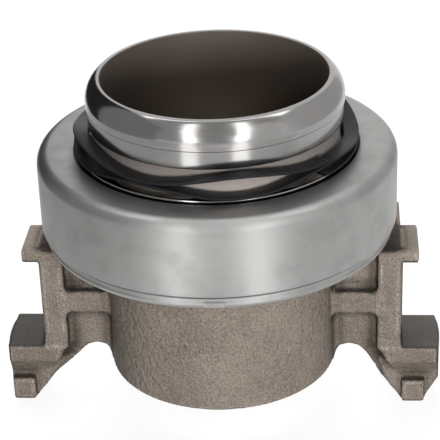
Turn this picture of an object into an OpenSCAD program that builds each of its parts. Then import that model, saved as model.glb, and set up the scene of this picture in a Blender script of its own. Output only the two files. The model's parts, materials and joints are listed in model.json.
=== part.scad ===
// Clutch release bearing of the pull type, in millimetres.
// The bearing axis is Z, the nose points up to the clutch and the barrel down to the gearbox.
// The origin lies on the axis, in the plane of the two toes that the part stands on.

/* [Guide sleeve] */
// Diameter of the guide tube that the bushes slide on
guide_d = 60; // [56:0.5:64]
// Wall of the plain bushes
bush_wall = 2.5; // [1.5:0.1:3.5]
// Length of each bush
bush_l = 20; // [14:0.5:22]
// How far each bush sits inside the end of its seat
bush_inset = 1; // [0.5:0.1:2]
// Wall of the barrel round the bushes
barrel_wall = 6.7; // [5:0.1:9]
// Height of the shoulder that each bush is pressed against
bush_stop = 1.2; // [0.6:0.1:2]
// Thickness of the flange inside the cover
flange_t = 4.8; // [4:0.1:7]

/* [Fork wings] */
// Depth of the toes below the end of the barrel
toe_drop = 15; // [12:0.5:20]
// Height of the lower fork pad above the end of the barrel
pad_rise = 8; // [6:0.5:12]
// Clear height for the fork between lower and upper pad
fork_gap = 32.3; // [28:0.1:38]
// Thickness of the upper pad
upper_pad_t = 4.6; // [3:0.1:5.5]
// Thickness of the lower pad's flange
lower_pad_t = 6; // [4.5:0.1:7]
// Distance from the barrel to the column of the wing
wing_span = 14.6; // [12:0.1:18]
// Thickness of the column
column_t = 8; // [6:0.1:10]
// Depth of column, bar and upper pad, front to back
column_depth = 19.6; // [16:0.2:24]
// How far the upper pad stands out from the column
upper_pad_reach = 5.7; // [3:0.1:7]
// How far the lower pad stands out from the column, to its turned edge
lower_pad_reach = 13.7; // [11:0.1:15]
// Depth of the lower pad, front to back
lower_pad_depth = 22.4; // [20:0.2:28]
// Thickness of the web between barrel and column
web_t = 11; // [6:0.2:13]
// Thickness of the hook between lower pad and toe
hook_t = 14; // [12:0.2:17]
// Height of the bar across the web
bar_h = 7.9; // [6:0.1:11]
// Height of the bar's lower edge above the lower pad
bar_rise = 12.6; // [10:0.1:15]
// Reach of the guide cheek behind the column
cheek_reach = 18; // [10:0.5:22]
// Height of the guide cheek where it leaves the column
cheek_h = 28; // [20:0.5:30]
// Height of the slope at the foot of the column
slope_h = 2.5; // [1.5:0.1:4]
// Width of each toe
toe_w = 7.8; // [6:0.1:9]
// Height of each toe
toe_h = 8.5; // [6:0.1:9.5]
// Depth of each toe, front to back
toe_depth = 19.5; // [17.5:0.5:22]
// Distance from the turned edge to the middle of the toe
toe_inset = 6.9; // [6.5:0.1:8]
// How far the left toe stands out further, and the right one less
toe_shift = 2.2; // [0:0.1:2.4]
// Radius of the arch between barrel and hook
arch_r = 6.6; // [5:0.1:7.5]
// How far the arch rises above the end of the barrel
arch_rise = 5.9; // [4:0.1:7]
// Clear height from the top of the wing to the cover's lip
cover_rise = 6.6; // [5:0.1:9]

/* [Ball race] */
// Ball diameter
ball_d = 11.112; // [10:0.001:12]
// Number of balls
ball_n = 22; // [22:1:22]
// Contact angle of the balls in degrees
contact_angle = 40; // [30:1:45]
// Groove radius as a share of the ball diameter
conformity = 0.52; // [0.515:0.005:0.54]
// Wall of the inner ring under the balls
race_wall = 5.84; // [4.5:0.02:8]
// Wall of the outer ring over the balls
ring_wall = 3.5; // [2.5:0.1:5]
// Height of the outer ring
ring_h = 19.7; // [18:0.1:24]
// Height of the ball centres as a share of the outer ring's height
ball_height = 0.55; // [0.52:0.01:0.58]
// Thickness of the seals
seal_t = 1.8; // [1.2:0.1:2]
// Height of the ball cage
cage_h = 14.4; // [13:0.1:15]

/* [Cover] */
// Sheet thickness of the cover
cover_wall = 1.8; // [1.2:0.1:2]
// Outer radius of the cover's rounded top edge
cover_corner_r = 4; // [3:0.5:6]
// Height of the crimped lip below the shoulder line
lip_h = 3.9; // [3:0.1:5]
// How far the lip lies inside the cover's outer face
lip_step = 1.2; // [0.8:0.1:1.5]
// How far the lip is turned in under the flange
lip_turn = 2.5; // [1.5:0.1:3]
// Width of the flat notch in the lip
notch_w = 5.8; // [3:0.1:8]
// Height of the notch
notch_h = 1.6; // [1:0.1:2.5]
// Depth of the notch in the lip's outer face
notch_depth = 0.9; // [0.5:0.1:1.3]
// Direction of the notch, from +X towards +Y
notch_angle = -88; // [-100:1:-80]

/* [Nose] */
// Radial gap between guide tube and nose
nose_gap = 7.5; // [6:0.1:9]
// Wall of the neck
neck_wall = 3.5; // [3:0.1:4.2]
// How far the spring seat stands above the cover
seat_proud = 0.7; // [0.3:0.1:2]
// Length of the neck between spring seat and nose lip
neck_l = 15.3; // [13:0.1:20]
// Height of the collar under the nose lip
collar_h = 6.4; // [4:0.1:6.5]
// Wall of the nose lip
nose_lip_wall = 5.2; // [4.8:0.1:6]
// Height of the nose lip
nose_lip_h = 8.5; // [6.5:0.1:9]
// Length of the cylindrical land on the nose lip
nose_land = 2; // [1.5:0.1:3]
// Radius of the crowned face above the land
nose_crown = 7.2; // [6.6:0.1:9]

/* [Wave spring] */
// Width of the flat wire
wire_w = 5; // [4:0.1:6]
// Thickness of the flat wire
wire_t = 0.9; // [0.6:0.05:1.2]
// Height of one wave
wave_h = 3.2; // [2:0.1:3.5]
// Number of turns
spring_turns = 2; // [1:1:3]
// Waves in one turn, an odd number of halves
waves_per_turn = 4.5; // [3.5:1:6.5]
// Gap between the neck and the wire
spring_gap = 1.2; // [0.8:0.1:2]
// Direction of the wire's start, from +X towards +Y
spring_start = -37; // [-180:1:180]

/* [Hidden] */
$fn = 96;
// Clearance of pressed and seated pieces
seat_fit = 0.05;
// Clearance between each ball and its grooves
ball_play = 0.1;
// Clearance between balls and cage pockets
pocket_play = 0.2;
// Gap between the cage and the rings' shoulders
cage_gap = 0.5;
// Gap between the seals and the turning ring
seal_gap = 0.3;
// Gap between the turning ring and the sleeve or the cover
ring_gap = 0.8;
cover_gap = 1.1;
// Overlap that joins pieces of one casting
joint = 1;
// Chamfer on turned edges
edge = 0.8;
// Waves over which the wire's start swings up, and over which a turn steps on to the next
start_waves = 1.5;
step_waves = 1.75;
// Waves before the end of a turn where that step begins
step_lead = 0.375;

// Radii, worked out from the guide tube to the cover
guide_r = guide_d / 2;
bush_r = guide_r + bush_wall;
barrel_r = bush_r + barrel_wall;
relief_r = bush_r - bush_stop;
ball_r = ball_d / 2;
nose_bore_r = guide_r + nose_gap;
pitch_r = nose_bore_r + race_wall + ball_play + ball_r;
seat_r = pitch_r - ball_r / 2;
inner_shoulder_r = pitch_r - ball_r / 4;
outer_shoulder_r = pitch_r + ball_r / 4;
outer_land_r = pitch_r + ball_r / 2;
ring_r = pitch_r + ball_r + ball_play + ring_wall;
cover_in_r = ring_r + seat_fit;
cover_r = cover_in_r + cover_wall;
cover_hole_r = seat_r + cover_gap;
lip_r = cover_r - lip_step;
lip_in_r = lip_r - cover_wall - lip_turn;
neck_r = nose_bore_r + neck_wall;
nose_r = nose_bore_r + nose_lip_wall;

// Wing, measured out from the axis
column_x = barrel_r + wing_span;
column_out = column_x + column_t;
upper_pad_x = column_out + upper_pad_reach;
wing_r = column_out + lower_pad_reach;
toe_x = wing_r - toe_inset;

// Heights, from the toes up
barrel_z = toe_drop;
pad_z = barrel_z + pad_rise;
foot_z = pad_z - lower_pad_t;
upper_pad_z = pad_z + fork_gap;
column_top = upper_pad_z + upper_pad_t;
lip_z = column_top + cover_rise;
flange_z = lip_z + cover_wall;
shoulder_z = lip_z + lip_h;
flange_top = flange_z + flange_t;
ring_top = flange_top + ring_h;
cover_in_top = ring_top + seal_t;
cover_top = cover_in_top + cover_wall;
race_z = flange_top + ring_gap;
ball_z = flange_top + ring_h * ball_height;
seat_z = cover_top + seat_proud;
nose_lip_z = seat_z + neck_l;
nose_top = nose_lip_z + nose_lip_h;

BALLS = [for (i = [1 : ball_n]) str("ball_", i < 10 ? "0" : "", i)];

// Shared shapes

// Outline in X and Z, made a plate that is centred on the XZ plane
module plate(depth) {
    rotate([90, 0, 0]) linear_extrude(depth, center = true) children();
}

// Outline in Y and Z, carried along X
module along_x(from, to) {
    translate([from, 0, 0]) rotate([90, 0, 90]) linear_extrude(to - from) children();
}

// Ring of rectangular section
module ring(r_in, r_out, z_from, z_to) {
    translate([0, 0, z_from]) difference() {
        cylinder(r = r_out, h = z_to - z_from);
        translate([0, 0, -joint]) cylinder(r = r_in, h = z_to - z_from + 2 * joint);
    }
}

// Half section from the axis out to r, with its top outer corner rounded
module round_top(r, z_from, z_to, corner) {
    translate([0, z_from]) square([r, z_to - corner - z_from]);
    translate([0, z_from]) square([r - corner, z_to - z_from]);
    translate([r - corner, z_to - corner]) circle(corner);
}

// Half section from the axis out to r, with its bottom outer corner rounded
module round_bottom(r, z_from, z_to, corner) {
    translate([0, z_from + corner]) square([r, z_to - corner - z_from]);
    translate([0, z_from]) square([r - corner, z_to - z_from]);
    translate([r - corner, z_from + corner]) circle(corner);
}

// Half section of a ball groove that touches the ball at the contact angle
module groove(angle) {
    groove_r = ball_d * conformity;
    back = groove_r - ball_r - ball_play;
    translate([pitch_r - back * cos(angle), ball_z - back * sin(angle)]) circle(groove_r);
}

// Guide sleeve

// Space under the arch, closed by the line from the arch to the toe
module arch(toe_in) {
    arch_x = barrel_r + arch_r - 2 * edge;
    arch_z = barrel_z + arch_rise - arch_r;
    to_toe = [toe_in - arch_x, -arch_z];
    angle = atan2(to_toe[1], to_toe[0]) + acos(arch_r / norm(to_toe));
    translate([arch_x, arch_z]) {
        circle(arch_r);
        polygon([
            [-arch_r, 0], [0, 0], arch_r * [cos(angle), sin(angle)], to_toe,
            to_toe - [0, joint], [-arch_x, -arch_z - joint], [-arch_x, 0]
        ]);
    }
}

// Web from the barrel to the column, and down into the hook
module web_outline(toe_mid) {
    toe_out = toe_mid + toe_w / 2;
    difference() {
        polygon([
            [barrel_r - joint, 0], [toe_out, 0], [wing_r + joint, toe_h], [wing_r + joint, pad_z],
            [column_out, pad_z], [column_out, column_top], [column_x, column_top],
            [column_x - 3 * joint, flange_z + joint], [barrel_r - joint, flange_z + joint]
        ]);
        arch(toe_mid - toe_w / 2);
    }
}

// Hook from the lower pad down to the toe
module hook_outline(toe_mid) {
    toe_in = toe_mid - toe_w / 2;
    difference() {
        polygon([
            [toe_in, 0], [toe_mid + toe_w / 2, 0], [wing_r + joint, toe_h],
            [wing_r + joint, foot_z], [column_x, foot_z]
        ]);
        arch(toe_in);
    }
}

// Flange of the lower pad, with its underside drawn in to the hook
module lower_pad() {
    half = lower_pad_depth / 2;
    recess_z = foot_z - lower_pad_t;
    intersection() {
        plate(lower_pad_depth) polygon([
            [column_x + joint, pad_z], [wing_r + joint, pad_z], [wing_r + joint, recess_z],
            [column_out, recess_z], [column_x + column_t / 2, foot_z], [column_x + joint, pad_z - joint]
        ]);
        along_x(column_x, wing_r + joint) polygon([
            [-half, pad_z], [-half, foot_z], [-hook_t / 2, recess_z],
            [hook_t / 2, recess_z], [half, foot_z], [half, pad_z]
        ]);
    }
}

// Column with its sloped base and the guide cheek behind it
module column() {
    half = column_depth / 2;
    base = lower_pad_depth / 2;
    base_z = pad_z + slope_h;
    along_x(column_x, column_out) polygon([
        [-base, pad_z - joint], [base, pad_z - joint], [base, pad_z], [half, base_z],
        [half, column_top - cheek_h], [half + cheek_reach, column_top - upper_pad_t],
        [half + cheek_reach, column_top], [-half, column_top], [-half, base_z], [-base, pad_z]
    ]);
}

// Upper pad with rounded corners
module upper_pad() {
    half = column_depth / 2;
    corner = edge;
    length = upper_pad_x - column_x;
    translate([column_x, 0, upper_pad_z]) linear_extrude(upper_pad_t) {
        translate([0, -half]) square([length - corner, column_depth]);
        translate([0, corner - half]) square([length, column_depth - 2 * corner]);
        for (side = [-1, 1]) translate([length - corner, side * (half - corner)]) circle(corner);
    }
}

// Bar from the barrel to the column
module bar() {
    plate(column_depth) translate([barrel_r - wing_span / 4, pad_z + bar_rise])
        square([wing_span * 1.25 + joint, bar_h]);
}

// Toe at the bottom of the hook
module toe(toe_mid) {
    half = toe_depth / 2;
    along_x(toe_mid - toe_w / 2, toe_mid + toe_w / 2) polygon([
        [-half, 0], [half, 0], [half, toe_h], [hook_t / 2 - joint, toe_h + joint],
        [joint - hook_t / 2, toe_h + joint], [-half, toe_h]
    ]);
}

// One wing on the +X side, turned to its outer radius
module wing(toe_mid) {
    intersection() {
        union() {
            plate(web_t) web_outline(toe_mid);
            plate(hook_t) hook_outline(toe_mid);
            lower_pad();
            column();
            upper_pad();
            bar();
            toe(toe_mid);
        }
        cylinder(r = wing_r, h = flange_top);
    }
}

module release_sleeve() {
    step_z = shoulder_z + lip_step;
    color([0.51, 0.48, 0.44]) difference() {
        union() {
            translate([0, 0, barrel_z]) cylinder(r1 = barrel_r - edge, r2 = barrel_r, h = edge);
            translate([0, 0, barrel_z + edge]) cylinder(r = barrel_r, h = flange_top - barrel_z - edge);
            translate([0, 0, flange_z - wing_span / 2])
                cylinder(r1 = barrel_r, r2 = barrel_r + wing_span / 2, h = wing_span / 2);
            translate([0, 0, flange_z])
                cylinder(r = lip_r - cover_wall - seat_fit, h = step_z - flange_z);
            translate([0, 0, step_z]) cylinder(r = cover_in_r - seat_fit, h = flange_top - step_z);
            wing(toe_x - toe_shift);
            mirror([1, 0, 0]) wing(toe_x + toe_shift);
        }
        translate([0, 0, barrel_z - joint]) cylinder(r = relief_r, h = flange_top - barrel_z + 2 * joint);
        translate([0, 0, barrel_z - joint]) cylinder(r = bush_r + seat_fit, h = bush_inset + bush_l + joint);
        translate([0, 0, flange_top - bush_inset - bush_l])
            cylinder(r = bush_r + seat_fit, h = bush_inset + bush_l + joint);
    }
}

module guide_bush(z_from) {
    color([0.62, 0.49, 0.28]) ring(guide_r, bush_r, z_from, z_from + bush_l);
}

// Bearing

module bearing_cover() {
    lip_corner = cover_wall * 0.8;
    step_z = shoulder_z + lip_step;
    line_h = 0.4;
    color([0.72, 0.72, 0.73]) difference() {
        rotate_extrude() difference() {
            union() {
                round_top(cover_r, shoulder_z, cover_top, cover_corner_r);
                round_bottom(lip_r, lip_z, shoulder_z, lip_corner);
            }
            round_top(cover_in_r, step_z, cover_in_top, cover_corner_r - cover_wall);
            translate([0, flange_z]) square([lip_r - cover_wall, step_z - flange_z + joint]);
            translate([0, lip_z - joint]) square([lip_in_r, flange_z - lip_z + 2 * joint]);
            square([cover_hole_r, cover_top + joint]);
            translate([lip_r - lip_step / 2, shoulder_z - line_h]) square([lip_step, line_h]);
        }
        rotate([0, 0, notch_angle]) translate([lip_r - notch_depth, -notch_w / 2, lip_z - joint])
            cube([notch_depth + lip_step, notch_w, notch_h + joint]);
    }
}

module outer_ring() {
    seal_seat_r = outer_land_r + seal_t;
    color([0.6, 0.6, 0.62]) rotate_extrude() difference() {
        round_top(ring_r, flange_top, ring_top, cover_corner_r - cover_wall);
        square([outer_shoulder_r, ring_top + joint]);
        square([outer_land_r, ball_z]);
        square([seal_seat_r + seat_fit, flange_top + seal_t + seat_fit]);
        groove(contact_angle);
    }
}

module front_seal() {
    color([0.12, 0.12, 0.13])
        ring(seat_r + seal_gap, cover_r - cover_corner_r - seat_fit, ring_top, cover_in_top);
}

module rear_seal() {
    color([0.12, 0.12, 0.13])
        ring(inner_shoulder_r + seal_gap, outer_land_r + seal_t, flange_top, flange_top + seal_t);
}

module inner_ring() {
    collar_r = neck_r + (nose_r - neck_r) * 0.35;
    neck_top = nose_lip_z - collar_h;
    crown_z = nose_lip_z + nose_land;
    color([0.66, 0.66, 0.68]) rotate_extrude() difference() {
        union() {
            polygon([
                [0, race_z], [inner_shoulder_r, race_z], [inner_shoulder_r, ball_z], [seat_r, ball_z],
                [seat_r, seat_z - edge / 2], [seat_r - edge / 2, seat_z], [neck_r, seat_z],
                [neck_r, neck_top - edge], [collar_r, neck_top],
                [nose_r - edge / 2, nose_lip_z], [0, nose_lip_z]
            ]);
            translate([0, nose_lip_z]) square([nose_r, nose_land]);
            intersection() {
                translate([0, crown_z]) square([nose_r, nose_top - crown_z]);
                translate([nose_r - nose_crown, crown_z]) circle(nose_crown);
            }
        }
        square([nose_bore_r, nose_top + joint]);
        groove(contact_angle + 180);
    }
}

module ball(i) {
    color([0.75, 0.75, 0.76]) rotate([0, 0, 360 * (i - 0.5) / ball_n])
        translate([pitch_r, 0, ball_z]) sphere(r = ball_r);
}

module ball_cage() {
    color([0.32, 0.26, 0.18]) difference() {
        ring(inner_shoulder_r + cage_gap, outer_shoulder_r - cage_gap, ball_z - cage_h / 2,
             ball_z + cage_h / 2);
        for (i = [1 : ball_n]) rotate([0, 0, 360 * (i - 0.5) / ball_n])
            translate([nose_bore_r, 0, ball_z]) rotate([0, 90, 0])
                cylinder(r = ball_r + pocket_play, h = cover_r - nose_bore_r);
    }
}

// Wave spring: a flat wire in flat turns, each a step of one wave and one wire above the last

// Smooth rise from 0 to 1
function ease(x) = let (t = min(max(x, 0), 1)) t * t * (3 - 2 * t);

// Number of steps climbed at an angle along the wire
function climb(angle, turn = 1) = turn > spring_turns ? 0 :
    ease(((angle / 360 - turn) * waves_per_turn + step_lead) / step_waves) + climb(angle, turn + 1);

// Height of the wire's underside at an angle along the wire
function wire_z(angle) = seat_z + seat_fit
    + wave_h / 2 * (1 - cos(waves_per_turn * angle)) * ease(angle / 360 * waves_per_turn / start_waves)
    + (wave_h + wire_t + seat_fit) * climb(angle);

module wave_spring() {
    steps_per_wave = 20;
    r_in = neck_r + spring_gap;
    r_out = r_in + wire_w;
    steps = spring_turns * waves_per_turn * steps_per_wave;
    angles = [for (i = [0 : steps]) 360 * spring_turns * i / steps];
    corners = [for (a = angles) each [
        for (c = [[r_in, 0], [r_out, 0], [r_out, wire_t], [r_in, wire_t]])
            [c[0] * cos(a), c[0] * sin(a), wire_z(a) + c[1]]
    ]];
    sides = [for (i = [0 : steps - 1], k = [0 : 3])
        [4 * i + k, 4 * i + 4 + k, 4 * i + 4 + (k + 1) % 4, 4 * i + (k + 1) % 4]];
    color([0.09, 0.09, 0.1]) rotate([0, 0, spring_start])
        polyhedron(corners, concat([[3, 2, 1, 0]], sides, [[for (k = [0 : 3]) 4 * steps + k]]));
}

release_sleeve();
guide_bush(barrel_z + bush_inset);  // guide_bush_lower
guide_bush(flange_top - bush_inset - bush_l);  // guide_bush_upper
bearing_cover();
outer_ring();
front_seal();
rear_seal();
inner_ring();
ball_cage();
wave_spring();
for (i = [1 : ball_n]) ball(i);
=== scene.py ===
"""Looks of a pull-type clutch release bearing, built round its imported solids.

Lengths in the size classes are millimetres in the part's own frame; meshes are written in metres.
"""

import json
import logging
import math
from dataclasses import dataclass
from enum import Enum
from typing import Callable

import bpy
import numpy as np
from mathutils import Matrix, Vector

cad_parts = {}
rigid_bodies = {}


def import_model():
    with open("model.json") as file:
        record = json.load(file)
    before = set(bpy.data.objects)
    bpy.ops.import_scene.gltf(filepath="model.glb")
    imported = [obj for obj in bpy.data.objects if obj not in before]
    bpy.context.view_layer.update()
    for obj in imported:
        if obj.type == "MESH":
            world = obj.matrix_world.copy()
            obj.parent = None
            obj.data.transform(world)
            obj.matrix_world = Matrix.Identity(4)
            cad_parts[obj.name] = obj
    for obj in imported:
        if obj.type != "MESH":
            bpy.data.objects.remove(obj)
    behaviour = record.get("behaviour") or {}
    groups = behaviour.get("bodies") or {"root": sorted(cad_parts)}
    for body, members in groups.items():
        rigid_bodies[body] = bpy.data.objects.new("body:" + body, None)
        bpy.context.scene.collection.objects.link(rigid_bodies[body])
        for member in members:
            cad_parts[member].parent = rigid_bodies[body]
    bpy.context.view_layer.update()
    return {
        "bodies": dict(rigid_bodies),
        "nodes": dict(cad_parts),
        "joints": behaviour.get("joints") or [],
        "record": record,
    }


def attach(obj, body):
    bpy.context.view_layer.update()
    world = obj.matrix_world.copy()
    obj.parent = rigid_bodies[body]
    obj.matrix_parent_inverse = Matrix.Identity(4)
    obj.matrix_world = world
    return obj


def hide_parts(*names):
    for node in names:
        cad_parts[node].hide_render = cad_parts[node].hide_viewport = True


LOG = logging.getLogger("release_bearing")
MM = 0.001
DIAGONAL = math.sqrt(0.5)
Array = np.ndarray
Colour = tuple[float, float, float]
Point = tuple[float, float, float]


class Body(Enum):
    """Bodies of the part that pieces ride on."""

    CARRIER = "carrier"
    RACE = "race"


class Slot(Enum):
    """Material slots of the record."""

    SLEEVE = "cast_sleeve"
    COVER = "cover_steel"
    NOSE = "nose_steel"
    SPRING = "spring_steel"


# Mesh helpers


def mesh_object(name: str, points: Array, faces: list | Array, smooth: bool = True) -> bpy.types.Object:
    """Puts points and faces into a new mesh object at the origin.

    Args:
        name: name of the object and its mesh.
        points: vertices in millimetres, one row each.
        faces: rows of vertex indices.
        smooth: whether the faces are shaded smooth.

    Returns:
        The linked object.
    """
    mesh = bpy.data.meshes.new(name)
    rows = faces.tolist() if isinstance(faces, np.ndarray) else faces
    mesh.from_pydata((np.asarray(points) * MM).tolist(), [], rows)
    mesh.polygons.foreach_set("use_smooth", np.full(len(mesh.polygons), smooth))
    mesh.update()
    obj = bpy.data.objects.new(name, mesh)
    bpy.context.scene.collection.objects.link(obj)
    return obj


def grid_faces(rows: int, columns: int, close_rows: bool, close_columns: bool) -> Array:
    """Quads of a grid of points that is stored row by row.

    Args:
        rows: number of rows.
        columns: points in a row.
        close_rows: whether the last row joins the first.
        close_columns: whether each row is a loop.

    Returns:
        Quads, as an array of four indices each.
    """
    i, j = np.meshgrid(
        np.arange(rows if close_rows else rows - 1),
        np.arange(columns if close_columns else columns - 1),
        indexing="ij",
    )
    near, far = i * columns, (i + 1) % rows * columns
    step = (j + 1) % columns
    return np.stack([near + j, near + step, far + step, far + j], -1).reshape(-1, 4)


def around_axis(section: Array, angles: Array, lift: Array) -> Array:
    """Carries a section round Z: (r cos a, r sin a, z + lift) for each of its points and each angle.

    Args:
        section: loop of (r, z) in millimetres.
        angles: angles in radians.
        lift: height that is added at each angle.

    Returns:
        Points, one loop after the other.
    """
    r, z = section[:, 0], section[:, 1]
    rings = [np.cos(angles)[:, None] * r, np.sin(angles)[:, None] * r, lift[:, None] + z]
    return np.stack(rings, -1).reshape(-1, 3)


def revolve(profile: Array, steps: int) -> tuple[Array, Array]:
    """Turns a closed profile once about Z.

    Args:
        profile: loop of (r, z) in millimetres, anticlockwise with r to the right.
        steps: number of steps.

    Returns:
        Points and quads.
    """
    angles = np.linspace(0.0, 2 * np.pi, steps, endpoint=False)
    faces = grid_faces(steps, len(profile), True, True)[:, ::-1]
    return around_axis(profile, angles, np.zeros(steps)), faces


def arc(centre: tuple[float, float], radius: float, start: float, end: float, count: int = 9) -> Array:
    """Points on an arc, centre plus radius times (cos a, sin a) for angles in degrees."""
    a = np.radians(np.linspace(start, end, count))
    return np.stack([centre[0] + radius * np.cos(a), centre[1] + radius * np.sin(a)], -1)


def ease(x: Array) -> Array:
    """Smooth rise from 0 to 1: t squared times (3 - 2 t)."""
    t = np.clip(x, 0.0, 1.0)
    return t * t * (3 - 2 * t)


def outline(*stretches: Array | tuple[float, float]) -> Array:
    """Joins points and arcs into one loop."""
    return np.concatenate([np.atleast_2d(np.asarray(s, float)) for s in stretches])


# Distance fields, negative inside the metal


def blend(a: Array, b: Array, radius: float) -> Array:
    """Union of two fields with a fillet: the smaller, less h squared times radius / 4 near the seam."""
    h = np.maximum(radius - np.abs(a - b), 0.0) / radius
    return np.minimum(a, b) - h * h * radius * 0.25


def brick(x: Array, y: Array, z: Array, low: tuple, high: tuple, edge: float) -> Array:
    """Distance to an upright brick with rounded edges: length of the outside part plus the inside part.

    Args:
        x: first coordinate.
        y: second coordinate.
        z: third coordinate.
        low: lowest corner.
        high: highest corner.
        edge: radius of the edges.

    Returns:
        The field on the broadcast grid.
    """
    gaps = [
        np.abs(c - (a + b) / 2) - ((b - a) / 2 - edge) for c, a, b in zip((x, y, z), low, high)
    ]
    outside = np.sqrt(sum(np.maximum(g, 0.0) ** 2 for g in gaps))
    inside = np.minimum(np.maximum(np.maximum(gaps[0], gaps[1]), gaps[2]), 0.0)
    return outside + inside - edge


def polygon_field(u: Array, v: Array, corners: list[tuple[float, float]]) -> Array:
    """Distance to a polygon: the least distance to its edges, negative where edges are crossed oddly."""
    near = np.full(np.broadcast(u, v).shape, np.inf)
    sign = np.ones_like(near)
    for (ax, ay), (bx, by) in zip(corners, corners[1:] + corners[:1]):
        ex, ey = bx - ax, by - ay
        wx, wy = u - ax, v - ay
        t = np.clip((wx * ex + wy * ey) / (ex * ex + ey * ey), 0.0, 1.0)
        near = np.minimum(near, (wx - ex * t) ** 2 + (wy - ey * t) ** 2)
        up, down, left = v >= ay, v < by, ex * wy > ey * wx
        sign = np.where((up & down & left) | (~up & ~down & ~left), -sign, sign)
    return sign * np.sqrt(near)


def surface_net(values: Array, origin: Array, step: float) -> tuple[Array, Array]:
    """Zero surface of a field on a grid.

    Each cell that the surface crosses gets one point, the mean of the crossings on its twelve edges.
    Each grid edge that is crossed gets one quad from the four cells round it.

    Args:
        values: field at the grid's points.
        origin: place of the first grid point.
        step: grid spacing.

    Returns:
        Points and quads that face outwards.
    """
    inside = values < 0
    cells = tuple(n - 1 for n in values.shape)
    corner = {
        (a, b, c): (slice(a, a + cells[0]), slice(b, b + cells[1]), slice(c, c + cells[2]))
        for a in (0, 1) for b in (0, 1) for c in (0, 1)
    }
    count_in = sum(inside[s].astype(np.int8) for s in corner.values())
    active = (count_in > 0) & (count_in < 8)
    index = np.full(cells, -1, np.int64)
    index[active] = np.arange(active.sum())
    base = np.argwhere(active).astype(float)
    total, hits = np.zeros_like(base), np.zeros(len(base))
    for a, spot in corner.items():
        for axis in range(3):
            if a[axis]:
                continue
            b = tuple(1 if k == axis else a[k] for k in range(3))
            fa, fb = values[spot][active], values[corner[b]][active]
            crossed = (fa < 0) != (fb < 0)
            t = np.where(crossed, fa / np.where(crossed, fa - fb, 1.0), 0.0)
            point = np.asarray(a, float) + t[:, None] * (np.asarray(b) - np.asarray(a))
            total += point * crossed[:, None]
            hits += crossed
    points = origin + (base + total / hits[:, None]) * step
    quads = []
    for axis in range(3):
        first, second = (axis + 1) % 3, (axis + 2) % 3
        low = np.take(inside, range(values.shape[axis] - 1), axis)
        high = np.take(inside, range(1, values.shape[axis]), axis)
        spots = np.argwhere(low != high)
        kept = (spots[:, [first, second]] > 0).all(1)
        kept &= (spots[:, first] < cells[first]) & (spots[:, second] < cells[second])
        spots = spots[kept]
        ring = []
        for back_first, back_second in ((1, 1), (0, 1), (0, 0), (1, 0)):
            at = spots.copy()
            at[:, first] -= back_first
            at[:, second] -= back_second
            ring.append(index[tuple(at.T)])
        quad = np.stack(ring, -1)
        outward = low[tuple(spots.T)]
        quads.append(np.where(outward[:, None], quad, quad[:, ::-1]))
    return points, np.concatenate(quads)


def settle(points: Array, values: Callable[..., Array], reach: float, rounds: int = 3) -> Array:
    """Moves points onto a field's zero surface by Newton steps along its gradient.

    Args:
        points: points near the surface.
        values: the field as a function of x, y and z.
        reach: longest move in one round.
        rounds: number of steps.

    Returns:
        The moved points.
    """
    h = 0.02
    for _ in range(rounds):
        x, y, z = points.T
        here = values(x, y, z)
        slope = np.stack(
            [
                values(x + h, y, z) - values(x - h, y, z),
                values(x, y + h, z) - values(x, y - h, z),
                values(x, y, z + h) - values(x, y, z - h),
            ],
            -1,
        ) / (2 * h)
        steep = np.maximum((slope**2).sum(-1), 0.2)
        points = points - np.clip(here / steep, -reach, reach)[:, None] * slope
    return points


# Shader groups that several finishes share


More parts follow.
